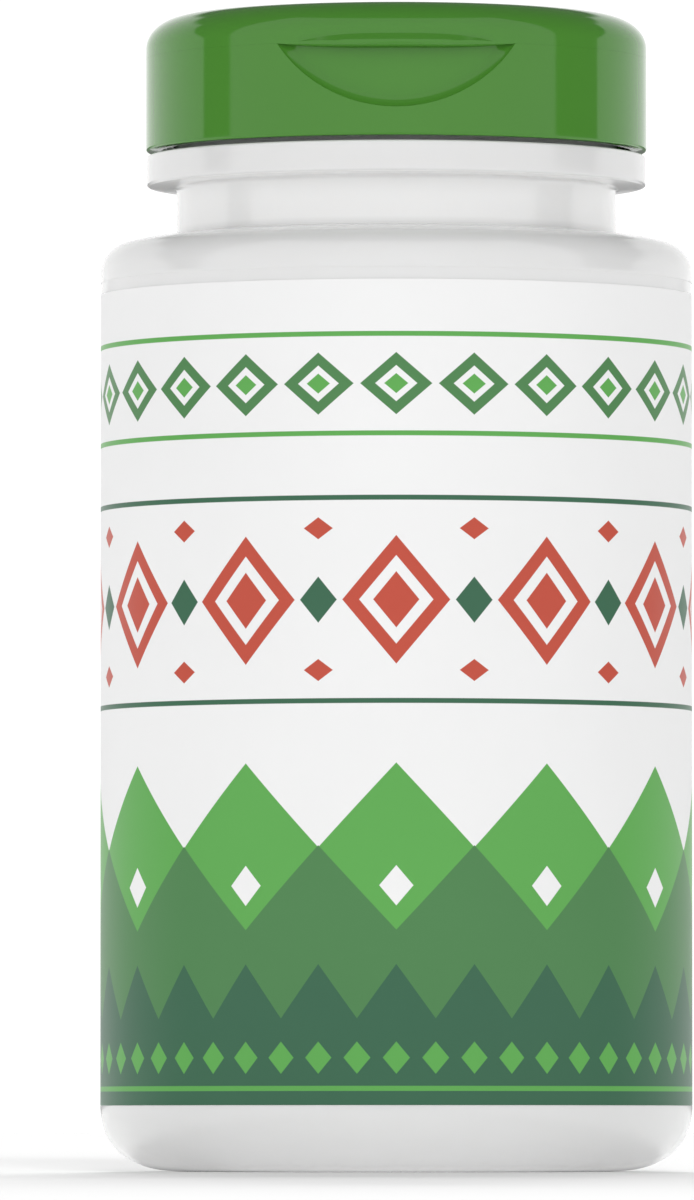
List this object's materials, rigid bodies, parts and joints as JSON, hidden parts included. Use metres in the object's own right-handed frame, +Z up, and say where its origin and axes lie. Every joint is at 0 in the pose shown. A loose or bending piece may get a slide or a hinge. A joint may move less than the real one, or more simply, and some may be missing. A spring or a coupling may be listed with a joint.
{
  "type": "capsule bottle with flip-top screw cap",
  "caption": "White cylindrical capsule bottle with a wrap label and a green screw cap whose hinged flip-top lid closes a round dispensing hole; stands upright on a recessed base.",
  "frame": {"origin": "centre of the base, on the surface that the bottle stands on", "axes": "+Z up along the bottle's axis, -Y towards the front with the cap's thumb notch, +X to the right seen from the front"},
  "size_m": [0.06, 0.06, 0.1171],
  "materials": {
    "bottle_white": "satin",
    "label_film": "satin",
    "seal_foam": "matte",
    "cap_green": "satin",
    "lid_green": "satin",
    "hinge_green": "satin"
  },
  "bodies": {
    "bottle": {"bottle": "bottle_white", "label": "label_film"},
    "seal": {"sealing_ring": "seal_foam"},
    "cap": {"cap": "cap_green", "hinge_film": "hinge_green"},
    "lid": {"lid": "lid_green"}
  },
  "joints": [
    {"name": "cap_rise", "type": "slide", "parent": "bottle", "child": "seal", "axis": [0, 0, 1], "range_m": [0, 0.0053]},
    {"name": "cap_turn", "type": "hinge", "parent": "seal", "child": "cap", "pos_m": [0, 0, 0.1084], "axis": [0, 0, 1], "range_deg": [0, 450]},
    {"name": "lid_hinge", "type": "hinge", "parent": "cap", "child": "lid", "pos_m": [0, 0.0246, 0.1128], "axis": [-1, 0, 0], "range_deg": [0, 130]}
  ],
  "couplings": [
    {"joint": "cap_rise", "follows": "cap_turn", "m_per_rad": 0.0006737}
  ]
}
